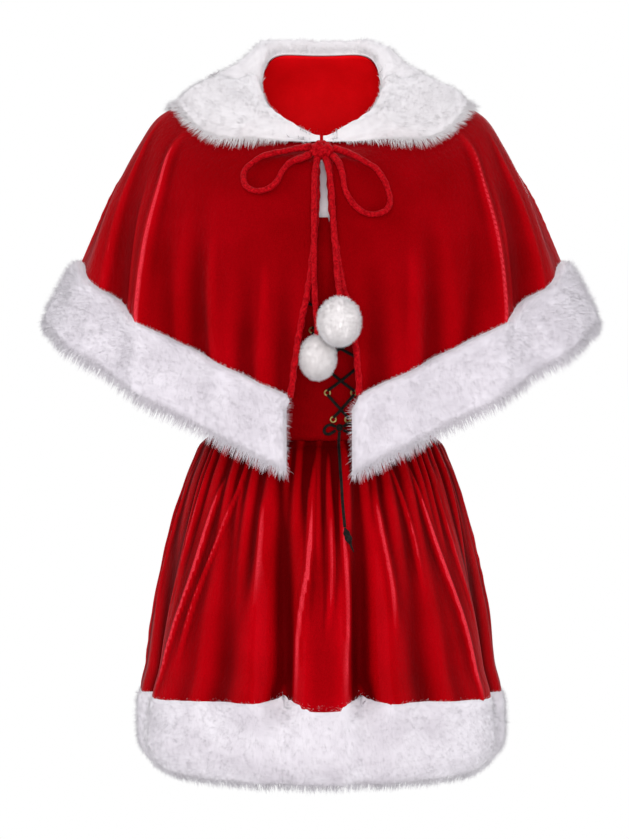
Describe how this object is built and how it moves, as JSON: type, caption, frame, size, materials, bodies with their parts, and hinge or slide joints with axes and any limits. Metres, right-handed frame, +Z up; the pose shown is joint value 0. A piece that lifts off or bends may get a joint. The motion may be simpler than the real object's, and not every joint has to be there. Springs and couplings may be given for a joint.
{
  "type": "velvet and fur cape and dress costume",
  "caption": "Red velvet mini dress with fur neckline and hem, worn under a short fur-trimmed shoulder cape tied with a pompom cord.",
  "frame": {"origin": "between the shoulders, where the wearer carries the cape and the dress's straps", "axes": "+Z up, the front of the costume faces -Y, the wearer's left is +X"},
  "size_m": [0.6546, 0.3841, 0.8662],
  "materials": {
    "velvet": "crushed velvet, soft sheen",
    "fur": "long white pile",
    "cord_velvet": "rolled velvet cord",
    "black_cord": "thin dark cord",
    "brass": "aged brass eyelets"
  },
  "bodies": {
    "root": {"cape_front_left": "velvet", "cape_front_right": "velvet", "cape_back": "velvet", "strap_left": "velvet", "strap_right": "velvet", "bodice_front": "velvet", "bodice_back": "velvet", "skirt_front": "velvet", "skirt_back": "velvet", "cape_collar_fur": "fur", "cape_hem_fur_left": "fur", "cape_hem_fur_right": "fur", "cape_hem_fur_back": "fur", "neckline_fur_front": "fur", "neckline_fur_back": "fur", "hem_fur_front": "fur", "hem_fur_back": "fur", "pompom_left": "fur", "pompom_right": "fur", "tie_knot": "cord_velvet", "tie_loop_left": "cord_velvet", "tie_loop_right": "cord_velvet", "tie_tail_left": "cord_velvet", "tie_tail_right": "cord_velvet", "lace_left_1": "black_cord", "lace_left_2": "black_cord", "lace_left_3": "black_cord", "lace_left_4": "black_cord", "lace_right_1": "black_cord", "lace_right_2": "black_cord", "lace_right_3": "black_cord", "lace_right_4": "black_cord", "lace_knot": "black_cord", "lace_loop_left": "black_cord", "lace_loop_right": "black_cord", "lace_tail": "black_cord", "lace_tail_knot": "black_cord", "eyelet_left_1": "brass", "eyelet_left_2": "brass", "eyelet_left_3": "brass", "eyelet_left_4": "brass", "eyelet_left_5": "brass", "eyelet_right_1": "brass", "eyelet_right_2": "brass", "eyelet_right_3": "brass", "eyelet_right_4": "brass", "eyelet_right_5": "brass"}
  },
  "joints": []
}
